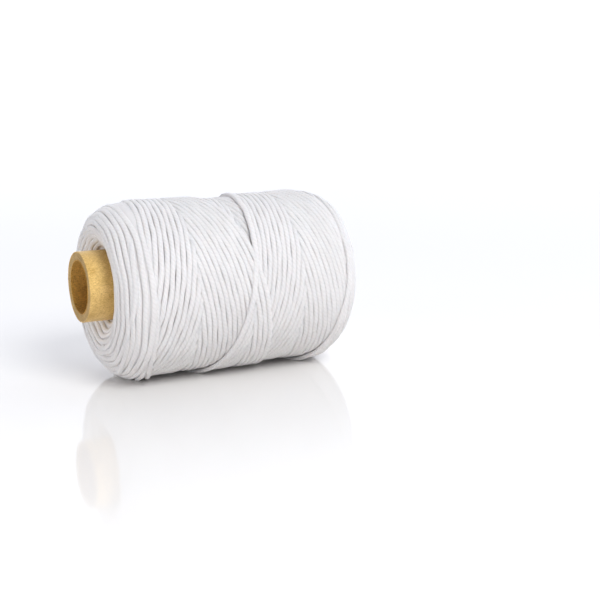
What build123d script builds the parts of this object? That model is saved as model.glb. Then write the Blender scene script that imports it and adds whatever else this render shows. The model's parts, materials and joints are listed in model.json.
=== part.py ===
from build123d import *

import os

# A spool of waxed cord: a spiral-wound paper tube carrying one long cross-wound cord.
# Millimetres. The spool lies on its side with its spindle bore along X, and +Z is up.
# The origin is under the middle of the tube, on the surface that the spool lies on.

# Paper tube
bore_diameter = 25.4
tube_diameter = 34.0
tube_length = 138.0
facing_ply = 0.4  # thin liner and cover papers, on the inside and the outside
board_plies = 5
rim_round = 0.3

# Wound cord
cord_diameter = 2.3
package_diameter = 87.0
package_length = 124.0
package_shift = 2.0  # the winding starts further from the -X end of the tube
waist_diameter = 85.2  # the package is a little slimmer between its two end bulges
shoulder_axial = 18.0
shoulder_radial = 14.3
flattening = 0.4  # how far the soft bulges press flat where the spool lies
eccentricity = 4.1  # the tube sits above the middle of the sagging package

# Stages of the winding, from the tube outwards
first_wrap_layers = 1
stage_diameters = {"inner": 54.0, "middle": 70.4}

# Last turns, laid straight round over the cross-wound cord
finish_turns = 3
finish_offset = 7.5  # from the middle of the package, towards +X
finish_crown = 0.5

bore_radius = bore_diameter / 2
tube_radius = tube_diameter / 2
package_radius = package_diameter / 2
waist_radius = waist_diameter / 2
package_axis = package_radius - flattening
tube_axis = package_axis + eccentricity
board_thickness = (tube_radius - bore_radius - 2 * facing_ply) / board_plies
first_radius = tube_radius + first_wrap_layers * cord_diameter
package_line = Axis((0, 0, package_axis), (1, 0, 0))

os.makedirs("parts", exist_ok=True)


def across(along, height):
    """A plane square to the spindle, centred this far along it and this high."""
    return Plane(origin=(along, 0, height), x_dir=(0, 1, 0), z_dir=(1, 0, 0))


def beside(along):
    """An upright plane through the package's axis, centred this far along it."""
    return Plane(origin=(along, 0, package_axis), x_dir=(1, 0, 0), z_dir=(0, -1, 0))


def save(piece, node):
    """Name a finished piece and write it as its own STEP file."""
    piece.part.label = node
    export_step(piece.part, f"parts/{node}.step")


def tube_ply(inner_radius, outer_radius, round_inner=False, round_outer=False):
    """One paper ply: a closed ring the full length of the tube, its rim eased where it is bare."""
    with BuildPart() as ply:
        with BuildSketch(across(0, tube_axis)):
            Circle(outer_radius)
            Circle(inner_radius, mode=Mode.SUBTRACT)
        extrude(amount=tube_length / 2, both=True)
        ends = ply.edges().filter_by(GeomType.CIRCLE).group_by(SortBy.RADIUS)
        if round_inner:
            fillet(ends[0], rim_round)
        if round_outer:
            fillet(ends[-1], rim_round)
    return ply


def package_envelope():
    """The whole outside of the wound cord, solid right through, flat where it lies."""
    half = package_length / 2
    bulge = half - shoulder_axial
    face_radius = package_radius - shoulder_radial
    with BuildPart() as envelope:
        with BuildSketch(beside(package_shift)):
            with BuildLine():
                Polyline((-half, face_radius), (-half, 0), (half, 0), (half, face_radius))
                EllipticalCenterArc(
                    (bulge, face_radius), shoulder_axial, shoulder_radial, 0, arc_size=90
                )
                ThreePointArc(
                    (bulge, package_radius), (0, waist_radius), (-bulge, package_radius)
                )
                EllipticalCenterArc(
                    (-bulge, face_radius), shoulder_axial, shoulder_radial, 90, arc_size=90
                )
            make_face()
        revolve(axis=package_line)
        split(bisect_by=Plane.XY, keep=Keep.TOP)
    return envelope


def stage_core(radius):
    """A cylinder along the winding, which sags below the tube more the larger it has grown."""
    grown = (radius - tube_radius) / (package_radius - tube_radius)
    with BuildPart() as core:
        with BuildSketch(across(package_shift, tube_axis - eccentricity * grown)):
            Circle(radius)
        extrude(amount=package_length, both=True)
    return core


# Paper tube, from the bore outwards
save(tube_ply(bore_radius, bore_radius + facing_ply, round_inner=True), "tube_liner_ply")
for layer in range(board_plies):
    ply_bore = bore_radius + facing_ply + layer * board_thickness
    save(tube_ply(ply_bore, ply_bore + board_thickness), f"tube_board_ply_{layer + 1}")
save(tube_ply(tube_radius - facing_ply, tube_radius, round_outer=True), "tube_cover_ply")

# Wound cord, stage by stage
envelope = package_envelope()

with BuildPart() as first_wraps:
    with BuildSketch(across(package_shift, tube_axis)):
        Circle(first_radius)
        Circle(tube_radius, mode=Mode.SUBTRACT)
    extrude(amount=package_length / 2, both=True)
save(first_wraps, "cord_first_wraps")

inner_core = stage_core(stage_diameters["inner"] / 2)
middle_core = stage_core(stage_diameters["middle"] / 2)

with BuildPart() as inner_winding:
    add(envelope.part)
    add(inner_core.part, mode=Mode.INTERSECT)
    with BuildSketch(across(package_shift, tube_axis)):
        Circle(first_radius)
    extrude(amount=package_length, both=True, mode=Mode.SUBTRACT)
save(inner_winding, "cord_inner_winding")

with BuildPart() as middle_winding:
    add(envelope.part)
    add(middle_core.part, mode=Mode.INTERSECT)
    add(inner_core.part, mode=Mode.SUBTRACT)
save(middle_winding, "cord_middle_winding")

finish_width = finish_turns * cord_diameter
with BuildPart() as finishing_turns:
    with BuildSketch(beside(package_shift + finish_offset)):
        with BuildLine():
            Polyline(
                (finish_width / 2, waist_radius),
                (finish_width / 2, waist_radius - cord_diameter + finish_crown),
                (-finish_width / 2, waist_radius - cord_diameter + finish_crown),
                (-finish_width / 2, waist_radius),
            )
            ThreePointArc(
                (-finish_width / 2, waist_radius),
                (0, waist_radius + finish_crown),
                (finish_width / 2, waist_radius),
            )
        make_face()
    revolve(axis=package_line)
save(finishing_turns, "cord_finishing_turns")

with BuildPart() as outer_winding:
    add(envelope.part)
    add(middle_core.part, mode=Mode.SUBTRACT)
    add(finishing_turns.part, mode=Mode.SUBTRACT)
save(outer_winding, "cord_outer_winding")
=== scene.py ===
"""A spool of waxed cord: real strands laid over the CAD winding, and a spiral-wound paper tube."""

import json
import math

import bpy
import numpy as np
from mathutils import Matrix, Vector


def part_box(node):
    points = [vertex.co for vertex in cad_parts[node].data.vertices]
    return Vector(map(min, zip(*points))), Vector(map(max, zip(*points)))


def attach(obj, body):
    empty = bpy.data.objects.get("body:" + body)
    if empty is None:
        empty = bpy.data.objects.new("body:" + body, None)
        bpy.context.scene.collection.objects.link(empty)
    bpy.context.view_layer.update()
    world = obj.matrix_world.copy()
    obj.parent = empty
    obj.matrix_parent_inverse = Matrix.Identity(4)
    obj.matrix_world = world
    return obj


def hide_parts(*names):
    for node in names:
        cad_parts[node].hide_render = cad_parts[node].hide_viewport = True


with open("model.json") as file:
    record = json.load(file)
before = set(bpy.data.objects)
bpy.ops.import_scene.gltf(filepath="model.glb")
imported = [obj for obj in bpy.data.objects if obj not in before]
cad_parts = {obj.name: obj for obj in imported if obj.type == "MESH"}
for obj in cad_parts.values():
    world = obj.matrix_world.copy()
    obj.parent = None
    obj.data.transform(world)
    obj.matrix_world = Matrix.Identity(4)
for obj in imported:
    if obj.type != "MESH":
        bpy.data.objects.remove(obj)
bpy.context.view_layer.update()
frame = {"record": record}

MM = 0.001  # every size below is in metres
full_turn = 2 * math.pi
rng = np.random.default_rng(11)

# ---------------------------------------------------------------- sizes from the frame

bore = next(m for m in frame["record"]["mounts"] if m["name"] == "spindle_bore")
bore_radius = bore["dims"]["r_mm"] * MM
tube_axis = bore["pos_m"][2]
tube_low, tube_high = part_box("tube_cover_ply")
tube_radius = (tube_high[1] - tube_low[1]) / 2

face_low, face_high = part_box("cord_inner_winding")
pack_low, pack_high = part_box("cord_outer_winding")
pack_x = (face_low[0] + face_high[0]) / 2
half_pack = (face_high[0] - face_low[0]) / 2
pack_radius = (pack_high[1] - pack_low[1]) / 2
pack_axis = pack_high[2] - pack_radius
sag = tube_axis - pack_axis

# ---------------------------------------------------------------- the cord

cord_width = 2.63 * MM  # just over its pitch: neighbours press together
cord_height = 2.1 * MM
cord_lay = 6.6 * MM  # one full twist of the plies
cord_plies = 3
cord_swell = (  # the cord's uneven width: each wave's size, rate along the cord and phase
    (0.025, full_turn / (7.3 * MM), 0),
    (0.020, full_turn / (17.9 * MM), 1),
)
section_power = 0.8  # the cord's section, from 1, an oval, towards 0, a box
floor_gap = 0.02 * MM  # no strand reaches lower than this

# ---------------------------------------------------------------- the package

shoulder_axial = 18 * MM
shoulder_radial = 14.3 * MM
shoulder_limit = 0.98  # the share of the shoulder before it falls too steeply
waist_depth = 0.6 * MM
bulge_x = half_pack - shoulder_axial
face_radius = pack_radius - shoulder_radial
funnel_depth = 6.2 * MM  # the end face dips towards the tube

# ---------------------------------------------------------------- the outer winding

pitch = 2.6 * MM  # from one strand to the next, along the spindle
layer_rise = 1.35 * MM  # one strand bedded on the one that it crosses
traverse_rate = 54.8 * MM  # along the spindle in one turn of the spool
strokes = round(traverse_rate / pitch)  # double strokes that lay one full layer
turns_in_layer = 4 * strokes  # a double stroke takes four turns of the spool
turn_back = 0.10  # half the length of a turn back, in turns of the spool
stroke_reach = traverse_rate * (1 - turn_back / 2)
crossing = 0.07  # how sharply a strand dips under the next group, in half turns
crossing_shift = 1.0 * MM  # the rows of crossings stand off the middle by this much
lean = 4.5 * MM  # the strands' planes lean out of square by this much at the radius
end_lean = 0.6  # the share of the lean that is left where the strokes end
last_start = math.radians(24)  # where round the spool the last double stroke began
along_strays = ((0.10 * MM, 70.3, 0), (0.08 * MM, 113.9, 2))  # size, rate in turns, phase
height_strays = ((0.06 * MM, 88.7, 1), (0.05 * MM, 151.3, 0))

tuck_start = 49.0 * MM  # from here the strands go under the end coils
tuck_length = 3.2 * MM
tuck_depth = 2.4 * MM

early_turn = 3.8  # here the guide runs ahead of an even stroke, on its way to the near end
early_half = 0.16
early_drift = 5.5 * MM

newest_depth = 0.3 * MM  # from the package's envelope to the middle of the newest strand
newest_from = -0.5  # nothing was wound over the cord after this turn
newest_ramp = 0.2
newest_rise = 0.42  # it lies on top, this share of a layer up
shoulder_settling = 0.95  # and it beds in this much, where it rounds the near shoulder
settled_turns = 0.7  # this far before and after the near end of its stroke
cord_end = 2.04  # turns, where the cord is tucked into the far end
end_tuck = 0.06  # over this much of a turn

shown_layers = 1.08  # a little over one, so that the whole barrel is covered
first_turn = -turns_in_layer * shown_layers
ring_step = 1.5 * MM  # from one ring of points to the next
sides = 14  # points round the cord
groups = 5  # the winding is cut into this many pieces

# ---------------------------------------------------------------- the end coils

coils_start = 6.8 * MM  # along the profile from the top of the shoulder
coils_angle = math.radians(60)  # where round the spool the spiral comes up
coil_depth = 0.5 * MM
coil_emerging = 0.12  # turns, in which the spiral rises from under the winding
coil_buried = 2.5 * MM  # how deep it starts
coil_lean_turns = 6  # the lean dies out over this many coils
coil_step = 1.4 * MM
coil_mean_radius = 30 * MM
profile_points = 400
profile_inset = 0.02 * MM  # the profile starts this far inside the barrel
tube_gap = 1.0 * MM  # and ends this far off the tube
last_coil_gap = 0.2 * MM

overlaid_arcs = 12
arcs_inset = 4.5 * MM  # the arcs start at least this far in from the first coil
arcs_margin = 8 * MM  # what the arcs leave free of the face in all
arc_spans = (1.3, 2.6)  # radians
arc_drifts = (0.8, 2.0)  # pitches
arc_rise = 0.5 * MM  # an arc lies this much higher than the coils
arc_tuck_length = 11 * MM
arc_tuck_depth = 2.0 * MM
arc_flattening = 0.9

# ---------------------------------------------------------------- the bed under the strands

level_columns = 111  # one for each millimetre from end to end of the stroke
level_rows = 180
samples_per_turn = 360
hole_passes = 5  # rounds of filling in the places that no strand crosses
bed_columns = 44
bed_column_step = 2
bed_face_start = 2.0 * MM
bed_face_rings = 30
bed_depth = 0.62 * MM
bed_clearance = 0.15 * MM
bed_floor_gap = 0.1 * MM
bed_tube_gap = 0.1 * MM

# ---------------------------------------------------------------- the paper tube

rim_rounding = 0.32 * MM
rim_share = 0.45  # the most of a ply's thickness that the rounding may take
rim_corner_points = 5
rim_lobes = (2, 3, 5, 9, 17)  # waves round the tube in a cut edge
rim_steps = 160
seam_width = 0.35 * MM
cover_seam_lead = 92 * MM  # along the tube, from one turn of the seam to the next
liner_seam_lead = 80 * MM
liner_uneven = 0.05 * MM  # how much the cut edges wander
cover_uneven = 0.04 * MM
board_uneven = 0.06 * MM
board_plies = 5
board_set_back = 0.10 * MM  # of every board ply's ends behind the facings' ends
odd_set_back = 0.08 * MM  # and of each odd one's besides

# ---------------------------------------------------------------- looks

cord_white = (0.80, 0.775, 0.765)
cord_shade = (0.76, 0.735, 0.725)
groove_shade_tone = (0.90, 0.90, 0.90)  # painted shade: what the cord's colour is multiplied by, between its plies and where its fibres' relief is low
crown_tone = (1, 1, 1)  # and on the crowns of the plies, where no shade is painted
ply_level = 0.45  # the plies' part in the height of the cord's relief
ply_wave = 0.25
fibre_share = 0.6
fuzz_share = 0.55
fibre_stretch = (260, 18, 1)  # the fibres' fineness for a metre of cord, and for a turn round it
board_stretch = (0.45, 1.0, 1.0)
board_turn = (0.5, 0.3, 0.9)
mottle_share = 0.6
broad_share = 0.4
seam_mark = 0.6
fleck_fineness = 1.5
black = (0, 0, 0)
fleck_strength = (0.7, 0.7, 0.7)

floor_half = 6.0
floor_colour = (0.91, 0.888, 0.858, 1)
sky_colour = (1.46, 1.495, 1.61, 1)
overhead_dimming = -0.52
left_dimming = 1.20  # the direction's left half is negative, as is its front half
front_dimming = 0.50


# ---------------------------------------------------------------- shapes of the winding


def ripple(waves, travel):
    """The sum of sine waves, each given as its size, its rate and its phase."""
    return sum(size * np.sin(rate * travel + phase) for size, rate, phase in waves)


def smooth_step(share):
    """Eases a share from 0 to 1."""
    return share**2 * (3 - 2 * share)


def hump(share):
    """One at the middle of -1 to 1, eased to zero at both ends and beyond."""
    return 0.5 * (1 + np.cos(math.pi * np.clip(share, -1, 1)))


def around_axis(x, radius, angle, height):
    """Points at these radii and angles about a level axis at this height, along x."""
    return np.stack([x, -radius * np.cos(angle), height + radius * np.sin(angle)], -1)


def pack_centre(radius):
    """Height of the winding's middle at this radius: it sags as it grows."""
    grown = (radius - tube_radius) / (pack_radius - tube_radius)
    return tube_axis - sag * grown


def shoulder_drop(along):
    """How far the winding's surface falls below its bulge, this far from the middle."""
    over = np.clip((np.abs(along) - bulge_x) / shoulder_axial, 0, shoulder_limit)
    waist = np.clip(1 - (along / bulge_x) ** 2, 0, 1)
    return shoulder_radial * (1 - np.sqrt(1 - over**2)) + waist_depth * waist


def end_reach(radius):
    """How far from the middle the end of the package stands at this radius."""
    up = np.clip((radius - face_radius) / shoulder_radial, 0, 1)
    down = np.clip((face_radius - radius) / (face_radius - tube_radius), 0, 1)
    return bulge_x + shoulder_axial * np.sqrt(1 - up**2) - funnel_depth * down**2


def traverse(turns):
    """Place along the stroke, from -1 to 1 and back every four turns, rounded at the ends."""
    phase = np.mod(turns, 4)
    from_end = np.abs(np.mod(phase + 1, 2) - 1)
    rounded = 1 - turn_back / 2 - from_end**2 / (2 * turn_back)
    size = np.where(from_end < turn_back, rounded, 1 - from_end) / (1 - turn_back / 2)
    return np.where(np.abs(phase - 2) <= 1, size, -size)


def dip(turns):
    """Rises by one through each half turn, then drops under the strands of the other group."""
    part = np.mod(2 * turns, 1)
    part = np.where(part > 0.5, part - 1, part)
    return part - 0.5 * np.tanh(part / crossing)


def wind(turns):
    """Centre line of the outer cord, at these turns before (-) or after the last double stroke."""
    layers = turns / turns_in_layer
    angle = last_start + full_turn * turns * (1 + 1 / turns_in_layer)
    place = traverse(turns)
    inward = np.where(np.mod(turns, 4) < 2, 1, -1)
    fade = 1 - (1 - end_lean) * place**4
    shift = lean * np.cos(angle) * fade
    ahead = inward * (shift - crossing_shift * fade) / traverse_rate
    shift = shift - early_drift * hump((np.mod(turns, 4) - early_turn) / early_half)
    along = stroke_reach * place + shift + ripple(along_strays, turns)

    newest = smooth_step(np.clip((turns - newest_from) / newest_ramp, 0, 1))
    resting = newest_rise - shoulder_settling * hump(turns / settled_turns)
    rise = (1 - newest) * dip(turns + ahead) + newest * resting
    radius = pack_radius - newest_depth + 2 * layer_rise * layers + layer_rise * rise
    radius = radius + ripple(height_strays, turns)

    square = np.abs(along - end_lean * lean * np.cos(angle))
    tucked = np.clip((square - tuck_start) / tuck_length, 0, 1) * (1 - newest)
    tucked = np.maximum(tucked, np.clip((turns - cord_end) / end_tuck + 1, 0, 1))
    radius = radius - tuck_depth * smooth_step(tucked)
    return along, angle, radius - shoulder_drop(along)


def placed(along, angle, radius):
    """Points of the package from distances along it, angles round it and radii."""
    centre = pack_centre(np.minimum(radius + shoulder_drop(along), pack_radius))
    return around_axis(pack_x + along, radius, angle, centre)


def leaning_normals(along, angle):
    """Outward normals of the package's surface."""
    step = 0.2 * MM
    fall = (shoulder_drop(along + step) - shoulder_drop(along - step)) / (2 * step)
    tilt = np.arctan(fall)
    return around_axis(np.sin(tilt), np.cos(tilt), angle, 0)


# ---------------------------------------------------------------- mesh building


def new_mesh(name, points, faces, smooth=True):
    """A mesh object from arrays of points and of four-cornered faces."""
    mesh = bpy.data.meshes.new(name)
    mesh.vertices.add(len(points))
    mesh.vertices.foreach_set("co", np.asarray(points, dtype=np.float32).ravel())
    corners = faces.shape[1]
    mesh.loops.add(faces.size)
    mesh.loops.foreach_set("vertex_index", faces.ravel().astype(np.int32))
    mesh.polygons.add(len(faces))
    starts = np.arange(0, faces.size, corners, dtype=np.int32)
    mesh.polygons.foreach_set("loop_start", starts)
    mesh.polygons.foreach_set("use_smooth", np.full(len(faces), smooth))
    mesh.update(calc_edges=True)
    mesh.validate()
    piece = bpy.data.objects.new(name, mesh)
    bpy.context.scene.collection.objects.link(piece)
    return piece


def closed_quads(rings, steps):
    """Faces between rings of points, round each ring and from the last ring to the first."""
    i = np.arange(rings)[:, None]
    j = np.arange(steps)[None, :]
    after_i, after_j = (i + 1) % rings, (j + 1) % steps
    corners = (
        i * steps + j,
        after_i * steps + j,
        after_i * steps + after_j,
        i * steps + after_j,
    )
    return np.stack(corners, -1).reshape(-1, 4)


def squared(value):
    """Pushes a sine or cosine outward, from an oval's towards a box's."""
    return np.sign(value) * np.abs(value) ** section_power


class Strands:
    """Collects swept strands and makes one mesh of them, with a map along and round the cord."""

    def __init__(self):
        self.points = []
        self.faces = []
        self.maps = []
        self.count = 0

    def sweep(self, centre, normal, height, start=0.0):
        """Sweeps the cord's section along a line, and returns the cord's length at its end."""
        tangent = np.gradient(centre, axis=0)
        tangent /= np.linalg.norm(tangent, axis=1, keepdims=True)
        across = np.cross(tangent, normal)
        across /= np.linalg.norm(across, axis=1, keepdims=True)
        outward = np.cross(across, tangent)
        steps = np.linalg.norm(np.diff(centre, axis=0), axis=1)
        length = start + np.concatenate([[0], np.cumsum(steps)])
        around = full_turn * np.arange(sides)[None, :] / sides - math.pi / 2  # from underneath
        swell = 1 + ripple(cord_swell, length)[:, None]
        sideways = squared(np.cos(around)) * swell * cord_width / 2
        upward = squared(np.sin(around)) * swell * height / 2
        ring = (
            centre[:, None, :]
            + across[:, None, :] * sideways[..., None]
            + outward[:, None, :] * upward[..., None]
        )
        rings = len(centre)
        self.points.append(ring.reshape(-1, 3))
        self.faces.append(self.side_faces(rings))
        self.maps.append(self.side_map(length))
        self.close_end(0, True)
        self.close_end((rings - 1) * sides, False)
        self.count += rings * sides
        return length[-1]

    def side_faces(self, rings):
        """Faces along the strand, from ring to ring."""
        first = np.arange(rings - 1)[:, None] * sides
        a = first + np.arange(sides)[None, :]
        b = first + (np.arange(sides)[None, :] + 1) % sides
        return np.stack([a, a + sides, b + sides, b], -1).reshape(-1, 4) + self.count

    def side_map(self, length):
        """The map of those faces: metres along the cord, and turns round it within its twist."""
        u = length[:, None] + np.zeros(sides)[None, :]
        low_v = np.arange(sides) / sides - u / cord_lay
        high_v = low_v + 1 / sides
        corners = (
            np.stack([u[:-1], low_v[:-1]], -1),
            np.stack([u[1:], low_v[1:]], -1),
            np.stack([u[1:], high_v[1:]], -1),
            np.stack([u[:-1], high_v[:-1]], -1),
        )
        return np.stack(corners, 2).reshape(-1, 2)

    def close_end(self, base, flip):
        """Closes the strand's end with a row of faces across it."""
        for k in range(sides // 2 - 1):
            quad = [base + k, base + k + 1, base + sides - 2 - k, base + sides - 1 - k]
            if flip:
                quad = quad[::-1]
            self.faces.append(np.array([quad]) + self.count)
            self.maps.append(np.zeros((4, 2)))

    def finish(self, name, look):
        """Makes the mesh."""
        points = np.concatenate(self.points)
        points[:, 2] = np.maximum(points[:, 2], floor_gap)
        piece = new_mesh(name, points, np.concatenate(self.faces))
        layer = piece.data.uv_layers.new(name="cord_map")
        layer.data.foreach_set("uv", np.concatenate(self.maps).astype(np.float32).ravel())
        piece.data.materials.append(look)
        return piece


# ---------------------------------------------------------------- material building

mix_factor, mix_first, mix_second, mix_result = 0, 6, 7, 2  # a colour Mix node's sockets


def material(name, settings):
    """A new material with nodes, with its main shader set."""
    made = bpy.data.materials.new(name)
    made.use_nodes = True
    shader = made.node_tree.nodes["Principled BSDF"]
    for socket, value in settings.items():
        shader.inputs[socket].default_value = value
    return made, made.node_tree.nodes, made.node_tree.links, shader


def math_node(nodes, links, operation, first, second=None):
    """A math node fed by a socket, and by a socket or a number."""
    node = nodes.new("ShaderNodeMath")
    node.operation = operation
    links.new(first, node.inputs[0])
    if isinstance(second, (int, float)):
        node.inputs[1].default_value = second
    elif second is not None:
        links.new(second, node.inputs[1])
    return node.outputs[0]


def noise(nodes, links, place, scale, detail, roughness=0.5):
    """Cloudy noise at these places."""
    node = nodes.new("ShaderNodeTexNoise")
    node.inputs["Scale"].default_value = scale
    node.inputs["Detail"].default_value = detail
    node.inputs["Roughness"].default_value = roughness
    links.new(place, node.inputs["Vector"])
    return node.outputs["Fac"]


def mapped(nodes, links, place, scale, rotation=(0, 0, 0)):
    """Places turned and stretched."""
    node = nodes.new("ShaderNodeMapping")
    node.inputs["Rotation"].default_value = rotation
    node.inputs["Scale"].default_value = scale
    links.new(place, node.inputs["Vector"])
    return node.outputs["Vector"]


def two_tone(nodes, links, tone, levels, colours):
    """A colour that goes from the first to the second as the tone goes between two levels."""
    ramp = nodes.new("ShaderNodeValToRGB")
    for end, level, colour in zip(ramp.color_ramp.elements, levels, colours):
        end.position = level
        end.color = (*colour, 1)
    links.new(tone, ramp.inputs["Fac"])
    return ramp.outputs["Color"]


def relief(nodes, links, shader, height, strength, distance):
    """Gives the shader a fine relief."""
    bump = nodes.new("ShaderNodeBump")
    bump.inputs["Strength"].default_value = strength
    bump.inputs["Distance"].default_value = distance
    links.new(height, bump.inputs["Height"])
    links.new(bump.outputs["Normal"], shader.inputs["Normal"])


def cord_material():
    """Waxed cotton: plies with a groove between each two, fine twisted fibres, a dull wax gloss,
    and shade painted into the low parts of this relief.
    """
    settings = {
        "Roughness": 0.55,
        "Sheen Weight": 0.08,
        "Sheen Roughness": 0.5,
        "Coat Weight": 0.05,
        "Coat Roughness": 0.4,
        "Subsurface Weight": 0.35,
        "Subsurface Radius": (1.0, 0.85, 0.75),
        "Subsurface Scale": 0.5 * MM,
    }
    made, nodes, links, shader = material("waxed_cord", settings)
    place = nodes.new("ShaderNodeTexCoord").outputs["Object"]
    cord_map = nodes.new("ShaderNodeUVMap")
    cord_map.uv_map = "cord_map"
    split = nodes.new("ShaderNodeSeparateXYZ")
    links.new(cord_map.outputs["UV"], split.inputs["Vector"])

    plies = math_node(nodes, links, "MULTIPLY", split.outputs["Y"], cord_plies * full_turn)
    plies = math_node(nodes, links, "COSINE", plies)
    plies = math_node(nodes, links, "MULTIPLY", plies, ply_wave)
    plies = math_node(nodes, links, "ADD", plies, ply_level)
    drawn_out = mapped(nodes, links, cord_map.outputs["UV"], fibre_stretch)
    fibres = noise(nodes, links, drawn_out, scale=1.6, detail=4)
    fibres = math_node(nodes, links, "MULTIPLY", fibres, fibre_share)
    twist = math_node(nodes, links, "ADD", plies, fibres)

    clouds = noise(nodes, links, place, scale=60, detail=3)
    tint = two_tone(nodes, links, clouds, (0.3, 0.7), (cord_shade, cord_white))
    # painted shade: the colour is darkened where the relief is low, in each groove between plies
    # and between fibres
    painted_groove_shade = two_tone(nodes, links, twist, (0.2, 0.75), (groove_shade_tone, crown_tone))
    shaded = nodes.new("ShaderNodeMix")
    shaded.data_type = "RGBA"
    shaded.blend_type = "MULTIPLY"
    shaded.inputs[mix_factor].default_value = 1.0
    links.new(tint, shaded.inputs[mix_first])
    links.new(painted_groove_shade, shaded.inputs[mix_second])
    links.new(shaded.outputs[mix_result], shader.inputs["Base Color"])

    fuzz = noise(nodes, links, place, scale=2400, detail=3)
    fuzz = math_node(nodes, links, "MULTIPLY", fuzz, fuzz_share)
    height = math_node(nodes, links, "ADD", twist, fuzz)
    relief(nodes, links, shader, height, strength=0.6, distance=0.22 * MM)
    return made


def spiral_seam(nodes, links, place, lead):
    """One on the spiral line where the edges of a wound strip of paper meet, zero elsewhere."""
    centred = nodes.new("ShaderNodeVectorMath")
    centred.operation = "SUBTRACT"
    centred.inputs[1].default_value = (0, 0, tube_axis)
    links.new(place, centred.inputs[0])
    split = nodes.new("ShaderNodeSeparateXYZ")
    links.new(centred.outputs["Vector"], split.inputs["Vector"])
    turn = math_node(nodes, links, "ARCTAN2", split.outputs["Z"], split.outputs["Y"])
    turn = math_node(nodes, links, "DIVIDE", turn, full_turn)
    travel = math_node(nodes, links, "DIVIDE", split.outputs["X"], lead)
    on_strip = math_node(nodes, links, "ADD", turn, travel)
    on_strip = math_node(nodes, links, "FRACT", on_strip)
    return math_node(nodes, links, "LESS_THAN", on_strip, seam_width / lead)


def board_material(name, dark, light, fleck, roughness, grain, seam_lead=None):
    """Paper or board: fibrous, finely mottled, flecked, and seamed where it is a wound strip."""
    made, nodes, links, shader = material(name, {"Roughness": roughness})
    place = nodes.new("ShaderNodeTexCoord").outputs["Object"]
    fibrous = mapped(nodes, links, place, board_stretch, board_turn)
    mottle = noise(nodes, links, fibrous, scale=grain, detail=5, roughness=0.6)
    broad = noise(nodes, links, place, scale=130, detail=2)
    broad = math_node(nodes, links, "MULTIPLY", broad, broad_share)
    tone = math_node(nodes, links, "MULTIPLY", mottle, mottle_share)
    tone = math_node(nodes, links, "ADD", tone, broad)
    paper = two_tone(nodes, links, tone, (0.36, 0.64), (dark, light))

    flecks = noise(nodes, links, place, scale=grain * fleck_fineness, detail=1)
    mark = two_tone(nodes, links, flecks, (0.60, 0.70), (black, fleck_strength))
    height = mottle
    if seam_lead is not None:
        seam = spiral_seam(nodes, links, place, seam_lead)
        faint = math_node(nodes, links, "MULTIPLY", seam, seam_mark)
        mark = math_node(nodes, links, "MAXIMUM", mark, faint)
        height = math_node(nodes, links, "SUBTRACT", height, seam)
    marked = nodes.new("ShaderNodeMix")
    marked.data_type = "RGBA"
    marked.inputs[mix_second].default_value = (*fleck, 1)
    links.new(mark, marked.inputs[mix_factor])
    links.new(paper, marked.inputs[mix_first])
    links.new(marked.outputs[mix_result], shader.inputs["Base Color"])
    relief(nodes, links, shader, height, strength=0.45, distance=0.12 * MM)
    return made


cord_look = cord_material()
cover_look = board_material(
    "kraft_cover",
    dark=(0.56, 0.33, 0.08),
    light=(0.90, 0.62, 0.23),
    fleck=(0.36, 0.19, 0.045),
    roughness=0.42,
    grain=1900,
    seam_lead=cover_seam_lead,
)
board_look = board_material(
    "tube_board",
    dark=(0.42, 0.28, 0.115),
    light=(0.68, 0.47, 0.21),
    fleck=(0.20, 0.12, 0.05),
    roughness=0.85,
    grain=2600,
)
liner_look = board_material(
    "kraft_liner",
    dark=(0.40, 0.21, 0.04),
    light=(0.76, 0.42, 0.085),
    fleck=(0.14, 0.07, 0.02),
    roughness=0.75,
    grain=1700,
    seam_lead=liner_seam_lead,
)

# ---------------------------------------------------------------- pieces: the outer winding

per_turn = full_turn * pack_radius / ring_step
bounds = np.append(np.linspace(first_turn, newest_from, groups), cord_end)
for group in range(groups):
    count = int((bounds[group + 1] - bounds[group]) * per_turn) + 2
    along, angle, radius = wind(np.linspace(bounds[group], bounds[group + 1], count))
    strands = Strands()
    strands.sweep(
        placed(along, angle, radius),
        leaning_normals(along, angle),
        cord_height,
        start=bounds[group] * full_turn * pack_radius,
    )
    piece = strands.finish(f"cord_cover_layer_{group + 1}", cord_look)
    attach(piece, "root")
    node = "cord_finishing_turns" if group == groups - 1 else "cord_outer_winding"
    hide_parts(node)

# ---------------------------------------------------------------- pieces: the end faces


def end_profile():
    """Points across one end of the package, from its barrel to the tube: radius, reach, run."""
    radii = np.linspace(pack_radius - profile_inset, tube_radius + tube_gap, profile_points)
    reach = end_reach(radii)
    steps = np.hypot(np.diff(radii), np.diff(reach))
    run = np.concatenate([[0], np.cumsum(steps)])
    return radii, reach, run


def on_end(side, at, angle, sink):
    """Points and outward normals on an end of the package, this far along its profile."""
    radii, reach, run = end_profile()
    at = np.clip(at, 0, run[-1])
    radius = np.interp(at, run, radii)
    place = np.interp(at, run, reach)
    normal_r = np.interp(at, run, np.gradient(reach, run))
    normal_x = np.interp(at, run, -np.gradient(radii, run))
    size = np.hypot(normal_r, normal_x)
    normal_r, normal_x = normal_r / size, normal_x / size
    centre = pack_centre(radius)
    radius = radius - normal_r * sink
    place = place - normal_x * sink
    points = around_axis(pack_x + side * place, radius, angle, centre)
    return points, around_axis(side * normal_x, normal_r, angle, 0)


def coil_wander(angle, phases):
    """How the coils of an end stray from true rounds, nearly the same way for neighbours."""
    first, second, third = phases
    waves = (
        (0.70 * MM, 2, first),
        (0.35 * MM, 3.13, second),
        (0.22 * MM, 5.37, second),
        (0.14 * MM, 0.41, 0),
        (0.26 * MM, 9.07, third),
    )
    return ripple(waves, angle)


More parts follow.
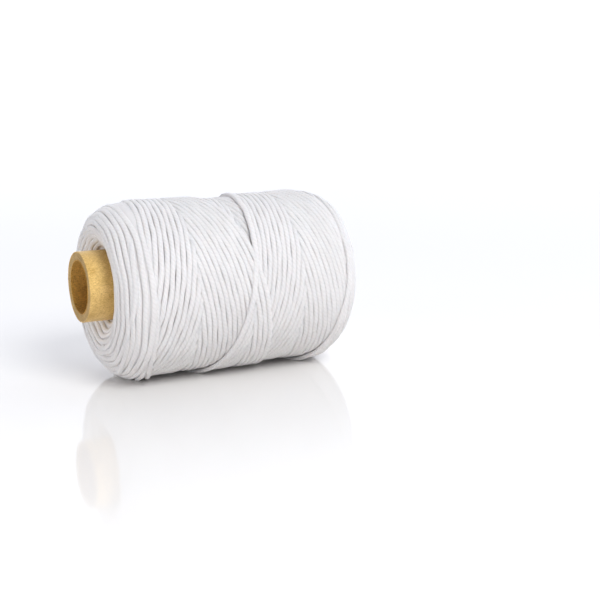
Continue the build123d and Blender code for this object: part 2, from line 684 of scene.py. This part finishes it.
def end_coils(side):
    """The turns seen on one end: a spiral from the shoulder to the tube, and arcs laid over it."""
    radii, _, run = end_profile()
    phases = rng.uniform(0, full_turn, 3)
    strands = Strands()
    last = run[-1] - last_coil_gap
    turns = (last - coils_start) / pitch
    travel = np.arange(0, turns, coil_step / (full_turn * coil_mean_radius))
    angle = coils_angle + side * full_turn * travel
    at = coils_start + pitch * travel + coil_wander(angle, phases) * np.clip(travel, 0, 1)
    fade = np.clip(1 - travel / coil_lean_turns, 0, 1)
    at = at + side * end_lean * lean * np.cos(angle) * fade
    out = np.clip(travel / coil_emerging, 0, 1)
    points, normals = on_end(side, at, angle, coil_depth + (1 - out) ** 2 * coil_buried)
    length = strands.sweep(points, normals, cord_height)
    for over in range(overlaid_arcs):
        share = (over + 0.5) / overlaid_arcs
        base = coils_start + arcs_inset + share * (last - coils_start - arcs_margin)
        size = np.interp(base, run, radii)
        span = rng.uniform(*arc_spans)
        begin = rng.uniform(0, full_turn)
        part = np.linspace(0, 1, int(span * size / coil_step) + 4)
        angle = begin + side * span * part
        drift = pitch * rng.uniform(*arc_drifts) * (part - 0.5) * rng.choice([-1, 1])
        at = base + drift + coil_wander(angle, phases)
        from_end = np.minimum(part, 1 - part) * span * size
        inside = np.clip(from_end / arc_tuck_length, 0, 1)
        sink = coil_depth - arc_rise * inside + (1 - inside) ** 2 * arc_tuck_depth
        points, normals = on_end(side, at, angle, sink)
        length = strands.sweep(points, normals, cord_height * arc_flattening, start=length)
    return strands


for side, name in ((-1, "cord_end_coils_near"), (1, "cord_end_coils_far")):
    piece = end_coils(side).finish(name, cord_look)
    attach(piece, "root")
    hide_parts("cord_inner_winding", "cord_middle_winding")


# ---------------------------------------------------------------- pieces: the bed


def neighbours(values):
    """Each place of the grid and the eight around it, in nine layers."""
    wide = np.concatenate([values[:1], values, values[-1:]])
    shifted = [wide[i : i + level_columns] for i in range(3)]
    return np.stack([np.roll(v, turn, axis=1) for v in shifted for turn in (-1, 0, 1)])


def strand_levels():
    """The height of the strands above the axis, with the shoulder taken off, on a grid."""
    turns = np.linspace(first_turn, cord_end, int((cord_end - first_turn) * samples_per_turn))
    along, angle, radius = wind(turns)
    level = radius + shoulder_drop(along)
    columns = np.round((along / MM) + level_columns // 2).astype(int)
    columns = np.clip(columns, 0, level_columns - 1)
    rows = np.mod(np.round(angle / full_turn * level_rows).astype(int), level_rows)
    empty = -1.0
    grid = np.full((level_columns, level_rows), empty)
    np.maximum.at(grid, (columns, rows), level)
    for _ in range(hole_passes):
        grid = np.where(grid < 0, neighbours(grid).max(axis=0), grid)
    grid = neighbours(grid).min(axis=0)
    return neighbours(grid).mean(axis=0)


def bed_face(side, angle):
    """Rings of points across one end of the bed, from the tube outward."""
    run = end_profile()[2]
    places = np.linspace(run[-1], bed_face_start, bed_face_rings)
    return [on_end(side, np.full(level_rows, at), angle, bed_depth)[0] for at in places]


def make_bed():
    """A closed body of cord just under the strands, so that no gap between them is empty."""
    levels = strand_levels()
    angle = full_turn * np.arange(level_rows) / level_rows
    rings = bed_face(-1, angle)
    for column in range(-bed_columns, bed_columns + 1, bed_column_step):
        along = np.full(level_rows, column * MM)
        level = levels[column + level_columns // 2] - bed_clearance - shoulder_drop(along)
        rings.append(placed(along, angle, level))
    rings += bed_face(1, angle)[::-1]
    inner = tube_radius + bed_tube_gap
    for end in (rings[-1][:, 0].mean(), rings[0][:, 0].mean()):
        rings.append(around_axis(np.full(level_rows, end), inner, angle, tube_axis))
    points = np.stack(rings)
    points[..., 2] = np.maximum(points[..., 2], bed_floor_gap)
    quads = closed_quads(len(rings), level_rows)[:, [0, 3, 2, 1]]  # turned to face out
    bed = new_mesh("cord_bed", points.reshape(-1, 3), quads)
    layer = bed.data.uv_layers.new(name="cord_map")
    layer.data.foreach_set("uv", np.zeros(quads.size * 2, dtype=np.float32))
    bed.data.materials.append(cord_look)
    return bed


bed = make_bed()
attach(bed, "root")
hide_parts("cord_first_wraps")

# ---------------------------------------------------------------- pieces: the paper tube


def ply_section(inner, outer, low, high, rounding):
    """Outline of one ply cut lengthwise: place, radius, and which end each point belongs to."""
    points = []
    corners = (
        (low, outer, 1, -1, 90, 180, 1),
        (low, inner, 1, 1, 180, 270, 1),
        (high, inner, -1, 1, 270, 360, -1),
        (high, outer, -1, -1, 0, 90, -1),
    )
    for x, r, inward_x, inward_r, start, stop, end in corners:
        centre_x, centre_r = x + inward_x * rounding, r + inward_r * rounding
        for turn in np.radians(np.linspace(start, stop, rim_corner_points)):
            place = centre_x + rounding * math.cos(turn)
            points.append((place, centre_r + rounding * math.sin(turn), end))
    return np.array(points)


def make_ply(name, node, inner, outer, look, set_back, uneven):
    """One glued ply: its cut ends wander a little, and its corners are rounded over."""
    low, high = tube_low[0] + set_back, tube_high[0] - set_back
    rounding = min(rim_share * (outer - inner), rim_rounding)
    section = ply_section(inner, outer, low, high, rounding)
    angle = full_turn * np.arange(rim_steps) / rim_steps
    wave = np.zeros((2, rim_steps))
    for lobes in rim_lobes:
        phase = rng.uniform(0, full_turn, 2)
        wave += uneven / math.sqrt(lobes) * np.sin(lobes * angle[None, :] + phase[:, None])
    place = section[:, 0:1] + np.where(section[:, 2:3] > 0, wave[0], -wave[1])
    radius = section[:, 1:2] + np.zeros(rim_steps)[None, :]
    points = around_axis(place, radius, angle, tube_axis)
    quads = closed_quads(len(section), rim_steps)
    piece = new_mesh(name, points.reshape(-1, 3), quads)
    piece.data.materials.append(look)
    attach(piece, "root")
    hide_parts(node)


plies = [("tube_liner_ply", "tube_liner", liner_look, 0.0, liner_uneven)]
for number in range(1, board_plies + 1):
    set_back = board_set_back + odd_set_back * (number % 2)
    plies.append((f"tube_board_ply_{number}", "tube_board", board_look, set_back, board_uneven))
plies.append(("tube_cover_ply", "tube_cover", cover_look, 0.0, cover_uneven))
inner = bore_radius
for node, slot, look, set_back, uneven in plies:
    node_low, node_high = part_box(node)
    outer = (node_high[1] - node_low[1]) / 2
    make_ply(node.replace("_ply", "_paper"), node, inner, outer, look, set_back, uneven)
    inner = outer

# ---------------------------------------------------------------- stage


def soft_light(name, place, aim, size, power, colour):
    """A round soft lamp."""
    light = bpy.data.lights.new(name, "AREA")
    light.shape = "DISK"
    light.size = size
    light.energy = power
    light.color = colour
    holder = bpy.data.objects.new(name, light)
    holder.location = place
    holder.rotation_mode = "QUATERNION"
    holder.rotation_quaternion = (Vector(aim) - Vector(place)).to_track_quat("-Z", "Y")
    holder.visible_glossy = False  # the polished floor doesn't show the lamp
    bpy.context.scene.collection.objects.link(holder)


def make_floor():
    """A pale polished floor."""
    signs = np.array([[-1, -1, 0], [1, -1, 0], [1, 1, 0], [-1, 1, 0]])
    floor = new_mesh("floor", floor_half * signs, np.array([[0, 1, 2, 3]]), smooth=False)
    made = material("pale_floor", {"Base Color": floor_colour, "Roughness": 0.07})[0]
    floor.data.materials.append(made)


def make_studio():
    """The light from all round: brightest behind, dimmer overhead, in front and high left."""
    world = bpy.data.worlds.new("studio")
    world.use_nodes = True
    nodes, links = world.node_tree.nodes, world.node_tree.links
    sky = nodes["Background"]
    sky.inputs["Color"].default_value = sky_colour
    direction = nodes.new("ShaderNodeTexCoord")
    split = nodes.new("ShaderNodeSeparateXYZ")
    links.new(direction.outputs["Generated"], split.inputs["Vector"])
    up = math_node(nodes, links, "MAXIMUM", split.outputs["Z"], 0.0)
    overhead = math_node(nodes, links, "MULTIPLY", up, overhead_dimming)
    left = math_node(nodes, links, "MINIMUM", split.outputs["X"], 0.0)
    left = math_node(nodes, links, "MULTIPLY", left, left_dimming)
    left = math_node(nodes, links, "MULTIPLY", left, up)
    front = math_node(nodes, links, "MINIMUM", split.outputs["Y"], 0.0)
    front = math_node(nodes, links, "MULTIPLY", front, front_dimming)
    dimming = math_node(nodes, links, "ADD", overhead, left)
    dimming = math_node(nodes, links, "ADD", dimming, front)
    strength = math_node(nodes, links, "ADD", dimming, 1.0)
    links.new(strength, sky.inputs["Strength"])
    bpy.context.scene.world = world


def make_camera():
    """The camera, low in front and to the left."""
    azimuth, elevation = math.radians(-28.0), math.radians(12.2)
    distance = 0.6134
    aim_right, aim_up = 0.0425, 0.0330  # the spool stands left of and below the middle
    flat = math.cos(elevation)
    back = Vector((math.sin(azimuth) * flat, -math.cos(azimuth) * flat, math.sin(elevation)))
    right = Vector((0, 0, 1)).cross(back).normalized()
    up = back.cross(right)
    place = Vector((pack_x, 0, 0)) + right * aim_right + up * aim_up + back * distance
    data = bpy.data.cameras.new("camera")
    data.lens = 72
    data.sensor_width = 36
    camera = bpy.data.objects.new("camera", data)
    turn = Matrix((right, up, back)).transposed()
    camera.matrix_world = Matrix.Translation(place) @ turn.to_4x4()
    bpy.context.scene.collection.objects.link(camera)
    bpy.context.scene.camera = camera


make_floor()
make_studio()
soft_light(
    "key",
    place=(0.10, -0.70, 0.68),
    aim=(0, 0, 0.04),
    size=0.5,
    power=6.25,
    colour=(0.945, 0.97, 1.0),
)
soft_light(
    "fill",
    place=(-0.70, -0.16, 0.15),
    aim=(-0.06, 0, 0.03),
    size=0.3,
    power=1.1,
    colour=(0.97, 0.98, 1.0),
)
bpy.context.scene.view_settings.view_transform = "Standard"
make_camera()
